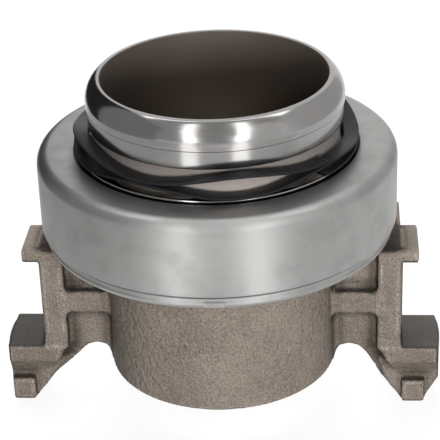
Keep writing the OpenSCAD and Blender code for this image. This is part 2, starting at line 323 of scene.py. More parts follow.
class Graph:
    """Short way to add nodes to a tree and link them."""

    def __init__(self, tree: bpy.types.NodeTree) -> None:
        """Keeps the tree."""
        self.tree = tree

    def add(self, kind: str, inputs: dict | None = None, **settings) -> bpy.types.Node:
        """Adds a node, with settings on the node and values or links on its inputs.

        Args:
            kind: the node's type name.
            inputs: socket name or number to a value or to an output socket.
            **settings: attributes of the node.

        Returns:
            The node.
        """
        node = self.tree.nodes.new(kind)
        for key, value in settings.items():
            setattr(node, key, value)
        for key, value in (inputs or {}).items():
            if isinstance(value, bpy.types.NodeSocket):
                self.link(value, node.inputs[key])
            else:
                node.inputs[key].default_value = value
        return node

    def link(self, output: bpy.types.NodeSocket, socket: bpy.types.NodeSocket) -> None:
        """Links an output to an input."""
        self.tree.links.new(output, socket)

    def math(self, operation: str, a: object, b: object) -> bpy.types.NodeSocket:
        """Adds a Math node and returns its value."""
        return self.add("ShaderNodeMath", {0: a, 1: b}, operation=operation).outputs[0]

    def place(self) -> bpy.types.NodeSocket:
        """Place on the object in metres."""
        return self.add("ShaderNodeTexCoord").outputs["Object"]

    def attribute(self, name: str) -> bpy.types.NodeSocket:
        """Value of a point attribute of the mesh."""
        return self.add("ShaderNodeAttribute", attribute_name=name).outputs["Fac"]

    def times(self, a: object, b: object) -> bpy.types.NodeSocket:
        """Product of two values."""
        return self.math("MULTIPLY", a, b)

    def plus(self, a: object, b: object) -> bpy.types.NodeSocket:
        """Sum of two values."""
        return self.math("ADD", a, b)

    def minus(self, a: object, b: object) -> bpy.types.NodeSocket:
        """Difference of two values."""
        return self.math("SUBTRACT", a, b)

    def flat(self, place: bpy.types.NodeSocket) -> bpy.types.NodeSocket:
        """A place without its height."""
        node = self.add("ShaderNodeVectorMath", {0: place, 1: (1.0, 1.0, 0.0)}, operation="MULTIPLY")
        return node.outputs[0]

    def length(self, vector: bpy.types.NodeSocket) -> bpy.types.NodeSocket:
        """Length of a vector."""
        return self.add("ShaderNodeVectorMath", {0: vector}, operation="LENGTH").outputs["Value"]

    def height(self, place: bpy.types.NodeSocket) -> bpy.types.NodeSocket:
        """Height of a place."""
        return self.add("ShaderNodeSeparateXYZ", {0: place}).outputs[2]

    def noise(self, vector: bpy.types.NodeSocket, scale: object, detail: float) -> bpy.types.NodeSocket:
        """Adds a 3-D noise and returns its value."""
        node = self.add("ShaderNodeTexNoise", {"Vector": vector, "Scale": scale, "Detail": detail})
        return node.outputs["Fac"]

    def window(self, value: bpy.types.NodeSocket, low: object, high: object) -> bpy.types.NodeSocket:
        """Smooth step of a value from low to high."""
        node = self.add(
            "ShaderNodeMapRange",
            {"Value": value, "From Min": low, "From Max": high},
            interpolation_type="SMOOTHSTEP",
        )
        return node.outputs["Result"]

    def mix(self, share: object, a: object, b: object) -> bpy.types.NodeSocket:
        """Mixes two colours by a share and returns the colour."""
        node = self.add("ShaderNodeMix", {"Factor": share}, data_type="RGBA")
        for name, value in (("A", a), ("B", b)):
            socket = next(s for s in node.inputs if s.name == name and s.type == "RGBA")
            if isinstance(value, bpy.types.NodeSocket):
                self.link(value, socket)
            else:
                socket.default_value = (*value, 1.0)
        return next(s for s in node.outputs if s.type == "RGBA")


def new_group(name: str, inputs: dict[str, float], outputs: tuple[str, ...]) -> tuple:
    """Starts a shader group with float sockets.

    Args:
        name: the group's name.
        inputs: input names with their usual values.
        outputs: output names.

    Returns:
        The group, a graph on it, its input node and its output node.
    """
    tree = bpy.data.node_groups.new(name, "ShaderNodeTree")
    for key, value in inputs.items():
        socket = tree.interface.new_socket(key, in_out="INPUT", socket_type="NodeSocketFloat")
        socket.default_value = value
    for key in outputs:
        tree.interface.new_socket(key, in_out="OUTPUT", socket_type="NodeSocketFloat")
    graph = Graph(tree)
    return tree, graph, graph.add("NodeGroupInput"), graph.add("NodeGroupOutput")


class Effects:
    """The shared shader groups."""

    def __init__(self) -> None:
        """Builds each group once."""
        self.skin = self._skin()
        self.turning = self._turning()
        self.smudge = self._smudge()

    @staticmethod
    def _skin() -> bpy.types.NodeTree:
        """Sand-cast or blasted skin: grains and pits as height, blotches and grains as tone."""
        tree, g, source, sink = new_group(
            "sand_skin", {"Grain": 1400.0, "Blotch": 60.0}, ("Tone", "Height", "Pits")
        )
        place = g.place()
        grain = g.noise(place, source.outputs["Grain"], 3.0)
        coarse = g.noise(place, g.times(source.outputs["Grain"], 0.45), 2.0)
        blotch = g.noise(place, source.outputs["Blotch"], 5.0)
        cells = g.add(
            "ShaderNodeTexVoronoi",
            {"Vector": place, "Scale": g.times(source.outputs["Grain"], 0.3)},
        )
        pits = g.window(cells.outputs["Distance"], 0.26, 0.08)
        speck = g.times(pits, g.window(coarse, 0.5, 0.62))
        height = g.plus(g.times(grain, 0.55), g.times(coarse, 1.1))
        height = g.minus(height, g.times(speck, 0.5))
        fine = g.noise(place, g.times(source.outputs["Grain"], 1.7), 2.0)
        tone = g.plus(g.times(fine, 0.7), g.times(blotch, 0.3))
        g.link(tone, sink.inputs["Tone"])
        g.link(height, sink.inputs["Height"])
        g.link(speck, sink.inputs["Pits"])
        return tree

    @staticmethod
    def _turning() -> bpy.types.NodeTree:
        """Fine lines round the Z axis: noise along r and z, so that it is constant round the axis."""
        tree, g, source, sink = new_group("turned_lines", {"Lines": 2500.0}, ("Tone", "Height"))
        place = g.place()
        flat = g.flat(place)
        along = g.plus(g.times(g.length(flat), 0.9), g.height(place))
        along = g.plus(along, g.times(g.noise(flat, 20.0, 2.0), 0.0004))
        line = g.add("ShaderNodeTexNoise", {"W": along, "Scale": source.outputs["Lines"], "Detail": 4.0},
                     noise_dimensions="1D").outputs["Fac"]
        band = g.add("ShaderNodeTexNoise",
                     {"W": along, "Scale": g.times(source.outputs["Lines"], 0.12), "Detail": 2.0},
                     noise_dimensions="1D").outputs["Fac"]
        tone = g.plus(g.times(line, 0.5), g.times(band, 0.5))
        g.link(tone, sink.inputs["Tone"])
        g.link(line, sink.inputs["Height"])
        return tree

    @staticmethod
    def _smudge() -> bpy.types.NodeTree:
        """Film of oil and handling marks: soft clouds, and thin scratches where stretched noise peaks."""
        tree, g, source, sink = new_group("handling", {"Size": 40.0}, ("Film", "Scratch"))
        place = g.place()
        cloud = g.noise(place, source.outputs["Size"], 6.0)
        film = g.window(cloud, 0.42, 0.68)
        stretched = g.add(
            "ShaderNodeMapping", {0: place, "Rotation": (0.5, 0.3, 0.7), "Scale": (1.0, 12.0, 1.0)}
        )
        hair = g.noise(stretched.outputs[0], g.times(source.outputs["Size"], 2.2), 3.0)
        scratch = g.window(hair, 0.66, 0.74)
        g.link(film, sink.inputs["Film"])
        g.link(scratch, sink.inputs["Scratch"])
        return tree


# Finishes


def start_material(name: str) -> tuple[bpy.types.Material, Graph, bpy.types.Node]:
    """Starts a node material.

    Args:
        name: the material's name.

    Returns:
        The material, a graph on it and its Principled BSDF.
    """
    material = bpy.data.materials.new(name)
    material.use_nodes = True
    graph = Graph(material.node_tree)
    return material, graph, material.node_tree.nodes["Principled BSDF"]


def use_group(graph: Graph, group: bpy.types.NodeTree, **values: float) -> bpy.types.NodeOutputs:
    """Places a shader group with its own values and returns its outputs."""
    node = graph.add("ShaderNodeGroup", node_tree=group)
    for key, value in values.items():
        node.inputs[key].default_value = value
    return node.outputs


def bump(graph: Graph, shader: bpy.types.Node, height: bpy.types.NodeSocket, strength: float,
         depth: float) -> None:
    """Gives a shader a bump of a depth in metres."""
    node = graph.add("ShaderNodeBump", {"Height": height, "Strength": strength, "Distance": depth})
    graph.link(node.outputs["Normal"], shader.inputs["Normal"])


@dataclass(frozen=True)
class CastFinish:
    """Sand-cast skin with milled and turned faces: painted shade where it is closed in, and lighter edges
    that are partly wear and partly painted highlight.

    The piece's own point attributes "painted_shade_mask", "edge_wear_and_highlight" and "milled" say where.
    """

    name: str = "cast_iron_skin"
    dark: Colour = (0.140, 0.117, 0.097)
    light: Colour = (0.270, 0.229, 0.194)
    pit: Colour = (0.045, 0.037, 0.030)
    # painted shade: the colour that corners, recesses and the part under the cover darken towards
    painted_shade: Colour = (0.020, 0.016, 0.013)
    # lighter colour on convex edges: partly wear, partly painted highlight
    worn_edge_highlight: Colour = (0.420, 0.365, 0.320)
    milled: Colour = (0.070, 0.066, 0.061)
    milled_light: Colour = (0.085, 0.081, 0.075)
    pit_share: float = 0.3
    # share of the painted shade in the most closed-in places
    painted_shade_share: float = 0.9
    # share of the lighter edge colour, partly wear and partly painted highlight
    worn_edge_highlight_share: float = 0.6
    film_share: float = 0.35
    grain: float = 1150.0
    rough: float = 0.56
    depth: float = 0.0008

    def material(self, effects: Effects) -> bpy.types.Material:
        """Builds the material.

        Args:
            effects: the shared shader groups.

        Returns:
            The material.
        """
        material, g, shader = start_material(self.name)
        skin = use_group(g, effects.skin, Grain=self.grain, Blotch=55.0)
        lines = use_group(g, effects.turning, Lines=2200.0)
        marks = use_group(g, effects.smudge, Size=45.0)
        milled, painted_shade_mask, edge_wear_and_highlight = (g.attribute(name) for name in ("milled", "painted_shade_mask", "edge_wear_and_highlight"))
        cast = g.mix(g.window(skin["Tone"], 0.36, 0.64), self.dark, self.light)
        cast = g.mix(g.times(skin["Pits"], self.pit_share), cast, self.pit)
        # Painted shade: darken the colour in corners, recesses and under the cover, where shade falls.
        cast = g.mix(g.times(g.window(painted_shade_mask, 0.12, 0.55), self.painted_shade_share), cast, self.painted_shade)
        # Lighter convex edges, partly wear and partly painted highlight, broken up by the skin's tone and
        # kept out of the painted shade.
        worn_edge_highlights = g.times(g.window(edge_wear_and_highlight, 0.05, 0.22), g.window(skin["Tone"], 0.4, 0.6))
        worn_edge_highlights = g.times(worn_edge_highlights, g.window(painted_shade_mask, 0.06, 0.02))
        cast = g.mix(g.times(worn_edge_highlights, self.worn_edge_highlight_share), cast, self.worn_edge_highlight)
        cut = g.mix(g.window(lines["Tone"], 0.3, 0.7), self.milled, self.milled_light)
        cut = g.mix(g.times(marks["Film"], self.film_share), cut, self.dark)
        g.link(g.mix(milled, cast, cut), shader.inputs["Base Color"])
        rough = g.minus(self.rough, g.times(milled, 0.12))
        g.link(rough, shader.inputs["Roughness"])
        shader.inputs["Specular IOR Level"].default_value = 0.1
        g.link(g.times(milled, 0.6), shader.inputs["Metallic"])
        plain = g.minus(1.0, milled)
        height = g.plus(g.times(skin["Height"], plain), g.times(g.times(lines["Height"], milled), 0.1))
        bump(g, shader, height, 1.0, self.depth)
        return material


@dataclass(frozen=True)
class TurnedSteel:
    """Bright steel with fine lines round the axis, a thin film and handling marks."""

    name: str
    colour: Colour
    shade: Colour
    rough: float
    spread: float
    lines: float
    line_depth: float
    film: float
    line_tone: float = 0.5
    marks: float = 38.0
    scratch: float = 0.03
    bore_r: float = 0.0
    # inside the bore the colour runs from bore_shade deep down to bore_colour at the mouth, between these
    # heights: painted shade
    bore_z: tuple[float, float] = (92.0, 118.0)
    bore_colour: Colour = (0.135, 0.112, 0.095)
    bore_shade: Colour = (0.0945, 0.0784, 0.0665)
    neck_z: tuple[float, float] = (0.0, 0.0)
    neck_colour: Colour = (0.42, 0.375, 0.345)

    def material(self, effects: Effects) -> bpy.types.Material:
        """Builds the material; inside bore_r the face is rough and brownish and darkens away from the mouth
        as painted shade, and between neck_z it is matt.

        Args:
            effects: the shared shader groups.

        Returns:
            The material.
        """
        material, g, shader = start_material(self.name)
        lines = use_group(g, effects.turning, Lines=self.lines)
        marks = use_group(g, effects.smudge, Size=self.marks)
        streak = g.times(g.window(lines["Tone"], 0.7, 0.3), self.line_tone)
        colour = g.mix(streak, self.colour, self.shade)
        colour = g.mix(g.times(marks["Film"], self.film), colour, self.shade)
        rough = g.plus(self.rough, g.times(lines["Tone"], self.spread))
        rough = g.plus(rough, g.times(marks["Film"], self.spread))
        rough = g.plus(rough, g.times(marks["Scratch"], self.scratch))
        shader.inputs["Metallic"].default_value = 1.0
        if self.bore_r:
            bore, neck, mouth = self._dull_faces(g)
            # Painted shade in the bore: darker deep down, lighter towards the mouth, with a little film in
            # it.
            light = g.plus(mouth, g.times(marks["Film"], 0.15))
            bore_with_painted_shade = g.mix(light, self.bore_shade, self.bore_colour)
            colour = g.mix(neck, g.mix(bore, colour, bore_with_painted_shade), self.neck_colour)
            rough = g.plus(rough, g.plus(g.times(bore, 0.24), g.times(neck, 0.4)))
            g.link(g.minus(1.0, g.times(g.plus(bore, neck), 0.45)), shader.inputs["Metallic"])
        g.link(colour, shader.inputs["Base Color"])
        g.link(rough, shader.inputs["Roughness"])
        bump(g, shader, lines["Height"], 0.5, self.line_depth)
        return material

    def _dull_faces(self, g: Graph) -> tuple[bpy.types.NodeSocket, ...]:
        """Masks of the bore, by the distance from the axis, and of the neck, by the height.

        Args:
            g: graph of the material.

        Returns:
            The masks of the bore and the neck, and how near to the mouth of the bore a place is, which sets
            the painted shade in the bore.
        """
        place = g.place()
        height = g.height(place)
        bore = g.window(g.length(g.flat(place)), (self.bore_r + 0.35) * MM, (self.bore_r + 0.15) * MM)
        low, high = self.neck_z
        neck = g.times(g.window(height, low * MM, (low + 0.2) * MM),
                       g.window(height, high * MM, (high - 0.4) * MM))
        deep, mouth = self.bore_z
        return bore, g.times(neck, g.minus(1.0, bore)), g.window(height, deep * MM, mouth * MM)


@dataclass(frozen=True)
class SkinFinish:
    """Finish of blued wire, moulded rubber or plastic: a blotched tone and a fine skin."""

    name: str
    colour: Colour
    light: Colour
    rough: float
    metallic: float
    depth: float

    def material(self, effects: Effects) -> bpy.types.Material:
        """Builds the material.

        Args:
            effects: the shared shader groups.

        Returns:
            The material.
        """
        material, g, shader = start_material(self.name)
        skin = use_group(g, effects.skin, Grain=2600.0, Blotch=90.0)
        marks = use_group(g, effects.smudge, Size=60.0)
        colour = g.mix(g.window(skin["Tone"], 0.3, 0.7), self.colour, self.light)
        colour = g.mix(g.times(marks["Scratch"], 0.5), colour, self.light)
        g.link(colour, shader.inputs["Base Color"])
        rough = g.plus(self.rough, g.times(marks["Film"], 0.12))
        g.link(rough, shader.inputs["Roughness"])
        shader.inputs["Metallic"].default_value = self.metallic
        shader.inputs["Specular IOR Level"].default_value = 0.16
        bump(g, shader, skin["Height"], 0.4, self.depth)
        return material


def dress(obj: bpy.types.Object, material: bpy.types.Material) -> None:
    """Gives an object one material."""
    obj.data.materials.clear()
    obj.data.materials.append(material)


# Sub-assemblies


@dataclass
class CastSleeve:
    """Guide sleeve: barrel, flange and two wings with fork pads, cast in one and then machined."""

    barrel_r: float = 39.2
    seat_r: float = 32.55
    relief_r: float = 31.3
    bush_seat: float = 21.0
    barrel_z: float = 15.0
    flange_z: float = 68.3
    flange_top: float = 73.1
    flange_r: float = 56.85
    rim_r: float = 57.95
    rim_z: float = 71.5
    column_x: float = 53.8
    column_out: float = 61.8
    column_top: float = 59.9
    column_half: float = 9.8
    upper_pad_x: float = 67.5
    upper_pad_z: float = 55.3
    pad_z: float = 23.0
    pad_half: float = 11.2
    foot_z: float = 17.0
    recess_z: float = 11.0
    wing_r: float = 75.5
    web_half: float = 5.5
    hook_half: float = 7.0
    bar_z: tuple[float, float] = (35.6, 43.5)
    cheek_y: float = 27.8
    cheek_h: float = 28.0
    toe_x: float = 68.6
    toe_half_w: float = 3.9
    toe_half: float = 9.75
    toe_h: float = 8.5
    toe_shift: float = 2.2
    arch: tuple[float, float, float] = (44.2, 14.3, 6.6)
    fillet: float = 2.6
    small_fillet: float = 1.2
    edge: float = 0.9
    bevel: float = 0.8
    cone_h: float = 7.3
    spare: float = 2.0
    # the cover's size, used only for the painted shade under the cover
    cover_r: float = 59.0
    cover_z: float = 65.5
    grid_low: Point = (-77.0, -60.0, -2.0)
    grid_size: Point = (154.0, 120.0, 77.0)
    step: float = 0.85

    def wing(self, x: Array, y: Array, z: Array) -> Array:
        """Field of both wings before machining.

        The distance out is |x|, moved below the foot by the toes' shift, so that one set of shapes
        gives both wings: a web plate, bar, column, pads, cheek and toe, joined with fillets. The
        spare metal outside and below is what the turning and milling take off.

        Args:
            x: coordinate through the wings.
            y: coordinate from front to back.
            z: height.

        Returns:
            The field.
        """
        side = np.where(x < 0, 1.0, -1.0)
        drop = np.clip((self.foot_z - z) / (self.foot_z - self.toe_h), 0.0, 1.0)
        out = np.abs(x)
        low = out - side * self.toe_shift * drop
        depth = np.abs(y)
        toe_in, toe_out = self.toe_x - self.toe_half_w, self.toe_x + self.toe_half_w
        root, rim, under = self.barrel_r - self.spare, self.wing_r + self.spare, -self.spare
        web = polygon_field(low, z, [
            (root, under), (toe_out - 0.5, under), (toe_out, 0.0), (rim, self.toe_h), (rim, self.pad_z),
            (self.column_out, self.pad_z), (self.column_out, self.column_top),
            (self.column_x, self.column_top), (self.column_x - 3, self.flange_z + 1),
            (root, self.flange_z + 1),
        ])
        hook = polygon_field(low, z, [
            (toe_in, under), (toe_out - 0.5, under), (toe_out, 0.0), (rim, self.toe_h),
            (rim, self.foot_z), (self.column_x, self.foot_z),
        ])
        arch_x, arch_z, arch_r = self.arch
        to_toe = math.hypot(toe_in - arch_x, arch_z)
        lean = math.atan2(-arch_z, toe_in - arch_x) + math.acos(arch_r / to_toe)
        hole = np.minimum(np.hypot(low - arch_x, z - arch_z) - arch_r, polygon_field(low, z, [
            (0.0, -9.0), (toe_in, -9.0), (toe_in, 0.0),
            (arch_x + arch_r * math.cos(lean), arch_z + arch_r * math.sin(lean)),
            (arch_x, arch_z), (arch_x - arch_r, arch_z), (0.0, arch_z),
        ]))
        web = np.maximum(np.maximum(web, depth - self.web_half), -hole)
        hook = np.maximum(np.maximum(hook, depth - self.hook_half), -hole)
        foot = polygon_field(low, z, [
            (self.column_x + 1, self.pad_z), (rim, self.pad_z), (rim, self.recess_z),
            (self.column_out, self.recess_z), (self.column_x + 3.5, self.foot_z),
            (self.column_x + 1, self.pad_z - 1),
        ])
        tuck = polygon_field(depth, z, [
            (-1.0, self.pad_z), (self.pad_half, self.pad_z), (self.pad_half, self.foot_z),
            (self.hook_half, self.recess_z), (-1.0, self.recess_z),
        ])
        foot = np.maximum(foot + self.edge, tuck + self.edge) - self.edge
        column = polygon_field(y, z, [
            (-self.pad_half, self.pad_z - 1), (self.pad_half, self.pad_z - 1), (self.pad_half, self.pad_z),
            (self.column_half, self.pad_z + 2.5), (self.column_half, self.column_top - self.cheek_h),
            (self.cheek_y, self.upper_pad_z), (self.cheek_y, self.column_top),
            (-self.column_half, self.column_top), (-self.column_half, self.pad_z + 2.5),
            (-self.pad_half, self.pad_z),
        ])
        middle, half = (self.column_x + self.column_out) / 2, (self.column_out - self.column_x) / 2
        column = np.maximum(column + self.edge, np.abs(out - middle) - half + self.edge) - self.edge
        pad = brick(out, y, z, (self.column_x, -self.column_half, self.upper_pad_z),
                    (self.upper_pad_x, self.column_half, self.column_top), 0.7)
        bar = brick(out, y, z, (self.barrel_r - 6, -self.column_half, self.bar_z[0]),
                    (self.column_x + 2, self.column_half, self.bar_z[1]), self.edge)
        toe = brick(low, y, z, (toe_in, -self.toe_half, under),
                    (toe_out, self.toe_half, self.toe_h), self.edge)
        frame = blend(blend(web, column, self.fillet), bar, self.fillet)
        for piece in (hook, foot, toe):
            frame = blend(frame, piece, self.small_fillet)
        return np.minimum(frame, pad)

    def values(self, x: Array, y: Array, z: Array) -> Array:
        """Field of the finished casting: barrel, flange and wings joined, then bored, milled and turned.

        Args:
            x: coordinate through the wings.
            y: coordinate from front to back.
            z: height.

        Returns:
            The field.
        """
        r = np.hypot(x, y)
        barrel = np.maximum(r - self.barrel_r, self.barrel_z - z)
        barrel = np.maximum(barrel, (r - self.barrel_r + self.barrel_z - z + self.bevel) * DIAGONAL)
        barrel = np.maximum(barrel, z - self.flange_top)
        flange = np.maximum(r - self.flange_r, self.flange_z - z)
        rim = np.maximum(r - self.rim_r, self.rim_z - z)
        flange = np.maximum(np.minimum(flange, rim), z - self.flange_top)
        cone = (r - self.barrel_r - (z - self.flange_z + self.cone_h)) * DIAGONAL
        cone = np.maximum(np.maximum(cone, z - self.flange_z - 1), r - self.barrel_r - self.cone_h)
        body = np.minimum(blend(barrel, cone, 1.5), flange)
        body = blend(body, self.wing(x, y, z), self.fillet)
        out = np.abs(x)
        slot = brick(out, y, z, (self.column_out + 0.5, -20.0, self.pad_z),
                     (90.0, 20.0, self.upper_pad_z), 0.4)
        for cut in (-slot, r - self.wing_r, -z, z - self.flange_top):
            body = np.maximum(body, cut)
        lower = self.barrel_z + self.bush_seat
        upper = self.flange_top - self.bush_seat
        bore_r = np.where((z < lower) | (z > upper), self.seat_r, self.relief_r)
        return np.maximum(body, bore_r - r)

    def build(self) -> bpy.types.Object:
        """Makes the casting from its field and marks the machined faces.

        Returns:
            The object, with point attributes: "milled" is 1 on machined faces, "painted_shade_mask" grows
            in corners and under the cover and sets the painted shade, and "edge_wear_and_highlight" grows on
            edges and sets the lighter edges, partly wear and partly painted highlight.
        """
        low = np.array(self.grid_low)
        counts = np.ceil(np.array(self.grid_size) / self.step).astype(int) + 1
        x, y, z = (low[k] + self.step * np.arange(counts[k]) for k in range(3))
        values = self.values(x[:, None, None], y[None, :, None], z[None, None, :])
        points, quads = surface_net(values, low, self.step)
        points = settle(points, self.values, 0.4)
        obj = mesh_object("release_sleeve_casting", points, quads)
        px, py, pz = points.T
        r = np.hypot(px, py)
        flat_gap, round_gap, clear = 0.12, 0.15, 0.2
        pads = (np.abs(pz - self.pad_z) < flat_gap) | (np.abs(pz - self.upper_pad_z) < flat_gap)
        pads &= np.abs(px) > self.column_out + clear
        edge = np.abs(r - self.wing_r) < round_gap
        bore = r < self.seat_r + clear
        end = (np.abs(pz - self.barrel_z) < round_gap) & (r < self.barrel_r + clear)
        milled = pads | edge | bore | end
        painted_shade_mask, edge_wear_and_highlight = self.relief(obj, points)
        for name, marks in (("milled", milled), ("painted_shade_mask", painted_shade_mask), ("edge_wear_and_highlight", edge_wear_and_highlight)):
            layer = obj.data.attributes.new(name, "FLOAT", "POINT")
            layer.data.foreach_set("value", marks.astype(np.float32))
        return obj

    def relief(self, obj: bpy.types.Object, points: Array) -> tuple[Array, Array]:
        """Tells how closed in each point is, which sets the painted shade in corners and under the cover,
        and how far out it stands, which sets the lighter edges, partly wear and partly painted highlight.

        A step d out along the normal ends at the distance d from an open face, and nearer to the
        surface in a corner or under the cover: hollow = 1 - mean(distance / d). A step inward ends
        nearer to the surface behind an edge than behind a face: worn = 1 - depth / d.

        Args:
            obj: the casting.
            points: its points in millimetres.

        Returns:
            Two values from 0 to 1 for each point: for the painted shade in corners and under the cover, and
            for the edges' wear and painted highlight.
        """
        normals = np.empty(points.size, dtype=np.float32)
        obj.data.vertex_normals.foreach_get("vector", normals)
        normals = normals.reshape(-1, 3)
        room = np.zeros(len(points))
        reaches = (2.5, 6.0, 12.0)
        for reach in reaches:
            x, y, z = (points + reach * normals).T
            cover = np.maximum(np.hypot(x, y) - self.cover_r, self.cover_z - z)
            room += np.clip(np.minimum(self.values(x, y, z), cover) / reach, 0.0, 1.0) / len(reaches)
        depth = 1.8
        edge_wear_and_highlight = 1.0 + self.values(*(points - depth * normals).T) / depth
        return 1.0 - room, np.clip(edge_wear_and_highlight, 0.0, 1.0)

    def finish(self, obj: bpy.types.Object, effects: Effects) -> None:
        """Dresses the casting and puts it on its body in place of the plain solid."""
        dress(obj, CastFinish().material(effects))
        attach(obj, Body.CARRIER.value)
        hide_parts("release_sleeve")


@dataclass
class DrawnCover:
    """Cover drawn from sheet: rounded top edge, and a lip crimped in under the sleeve's flange."""

    outer_r: float = 60.002
    inner_r: float = 58.202
    top: float = 96.4
    wall: float = 1.8
    corner: float = 4.0
    hole_r: float = 47.318
    shoulder_z: float = 70.4
    lip_r: float = 58.802
    lip_in_r: float = 54.502
    lip_z: float = 65.5
    flange_z: float = 68.3
    step_z: float = 71.6
    step: float = 0.35
    notch_angle: float = -88.0
    notch_w: float = 5.8
    notch_h: float = 2.3
    notch_depth: float = 0.9
    bead: float = 1.9
    gap: float = 1.0
    gap_depth: float = 1.4
    edge: float = 0.5

    def body_profile(self) -> Array:
        """Loop of the cup: hole edge, inner corner, wall, shoulder, outer corner and back to the hole."""
        centre = (self.outer_r - self.corner, self.top - self.corner)
        inner, edge = self.top - self.wall, self.edge
        wall_r, gap_r = self.lip_r - self.wall, self.lip_r - self.gap_depth
        gap_z = self.shoulder_z - self.gap - 0.1
        return outline(
            (self.hole_r + 0.3, inner), arc(centre, self.corner - self.wall, 90, 0),
            (self.inner_r, self.step_z), (wall_r, self.step_z), (wall_r, gap_z), (gap_r, gap_z),
            (gap_r, self.shoulder_z + 0.05),
            arc((self.outer_r - edge, self.shoulder_z + edge), edge, -90, 0, 5),
            arc(centre, self.corner, 0, 90, 15), arc((self.hole_r + edge, self.top - edge), edge, 90, 180, 5),
            (self.hole_r, inner + 0.3),
        )

    def lip_profile(self) -> Array:
        """Loop of the crimped lip: a bead that turns in under the flange, and a set-back band above it."""
        bead, edge, top = self.bead, self.edge, self.shoulder_z - self.gap
        wall_r, band_r, notch_top = self.lip_r - self.wall, self.lip_r - self.step, self.lip_z + self.notch_h
        return outline(
            (wall_r, top), (wall_r, self.flange_z), (self.lip_in_r, self.flange_z),
            arc((self.lip_in_r + 0.6, self.lip_z + 0.6), 0.6, 180, 270, 5),
            arc((self.lip_r - bead, self.lip_z + bead), bead, -90, 0, 9),
            (self.lip_r, self.lip_z + bead + 0.1), (band_r, notch_top - 0.05), (band_r, notch_top - 0.02),
            (band_r, notch_top + 0.02), arc((band_r - edge, top - edge), edge, 0, 90, 5),
        )

    def build(self) -> bpy.types.Object:
        """Turns cup and lip all the way round, then presses the notch's flat into the lip.

        A lip point in the notch whose distance along the notch's direction d is too long comes back
        to lip_r - notch_depth: p -= (p . d - limit) d.

        Returns:
            The object.
        """
        cup_points, cup_faces = revolve(self.body_profile(), 256)
        lip_points, lip_faces = revolve(self.lip_profile(), 900)
        angle = math.radians(self.notch_angle)
        d = np.array([math.cos(angle), math.sin(angle), 0.0])
        along, across = lip_points @ d, np.abs(lip_points @ np.array([-d[1], d[0], 0.0]))
        pressed = (along > 0) & (across < self.notch_w / 2) & (lip_points[:, 2] < self.lip_z + self.notch_h)
        excess = np.maximum(along - self.lip_r + self.notch_depth, 0.0) * pressed
        lip_points = lip_points - excess[:, None] * d
        points = np.concatenate([cup_points, lip_points])
        faces = np.concatenate([cup_faces, lip_faces + len(cup_points)])
        return mesh_object("bearing_cover_drawn", points, faces)

    def finish(self, obj: bpy.types.Object, effects: Effects) -> None:
        """Dresses the cover and puts it on its body in place of the plain solid."""
        steel = TurnedSteel("cover_satin_steel", (0.41, 0.41, 0.405), (0.31, 0.305, 0.295), 0.4, 0.05,
                            1800.0, 0.000004, 0.4, line_tone=0.2, marks=115.0)
        dress(obj, steel.material(effects))
        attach(obj, Body.CARRIER.value)
        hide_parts("bearing_cover")


@dataclass
class NoseRing:
    """Inner ring: ball groove and seat below the cover, neck, collar and rounded nose lip above it."""

    bore_r: float = 37.5
    base_z: float = 73.9
    shoulder_r: float = 47.607
    groove: tuple[float, float, float] = (49.09, 84.01, 5.778)
    seat_r: float = 46.218
    seat_z: float = 97.1
    neck_r: float = 41.0
    neck_top: float = 106.0
    collar_r: float = 42.2
    lip_z: float = 111.8
    lip_r: float = 42.7
    land: float = 2.6
    crown: tuple[float, float] = (6.0, 53.0)
    top: float = 120.9
    edge: float = 0.5
    nick: float = 0.4

    def profile(self) -> Array:
        """Loop of the ring: base, groove as an arc, seat, neck, collar, lip as an arc and the bore.

        The lip's arc leans from the first crown angle, at the land, to the last one, at the top, so
        its radius is the height between them / (sin last - sin first).

        Returns:
            The loop.
        """
        cx, cz, cr = self.groove
        below = math.degrees(math.acos((self.shoulder_r - cx) / cr))
        above = math.degrees(math.acos((self.seat_r - cx) / cr))
        first, last = (math.radians(angle) for angle in self.crown)
        crown_z = self.lip_z + self.land
        crown_r = (self.top - 0.1 - crown_z) / (math.sin(last) - math.sin(first))
        centre = (self.lip_r - crown_r * math.cos(first), crown_z - crown_r * math.sin(first))
        edge = self.edge
        return outline(
            (self.bore_r, self.base_z + edge), (self.bore_r + edge, self.base_z),
            (self.shoulder_r - 0.4, self.base_z), (self.shoulder_r, self.base_z + 0.4),
            arc((cx, cz), cr, -below, -360 + above, 21),
            (self.seat_r, self.seat_z - 0.6), arc((self.seat_r - edge, self.seat_z - edge), edge, 0, 90, 5),
            arc((self.neck_r + 0.25, self.seat_z + 0.25), 0.25, 270, 180, 4),
            (self.neck_r, self.neck_top - 0.8),
            arc((self.collar_r - 0.3, self.neck_top + 0.1), 0.3, -70, 0, 5),
            (self.lip_r - self.nick, self.lip_z - 0.15), (self.lip_r - self.nick, self.lip_z),
            arc((self.lip_r - 0.3, self.lip_z + 0.3), 0.3, -90, 0, 4),
            arc(centre, crown_r, *self.crown, 21),
            arc((self.bore_r + 0.35, self.top - 0.35), 0.35, 90, 180, 5),
        )

    def build(self) -> bpy.types.Object:
        """Turns the profile all the way round."""
        points, faces = revolve(self.profile(), 256)
        return mesh_object("inner_ring_turned", points, faces)

    def finish(self, obj: bpy.types.Object, effects: Effects) -> None:
        """Dresses the ring and puts it on its body in place of the plain solid."""
        steel = TurnedSteel("nose_polished_steel", (0.38, 0.375, 0.37), (0.29, 0.28, 0.27), 0.13, 0.05,
                            2600.0, 0.000004, 0.5, line_tone=0.35, bore_r=self.bore_r,
                            neck_z=(self.seat_z + 0.3, self.neck_top - 0.2))
        dress(obj, steel.material(effects))
        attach(obj, Body.RACE.value)
        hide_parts("inner_ring")


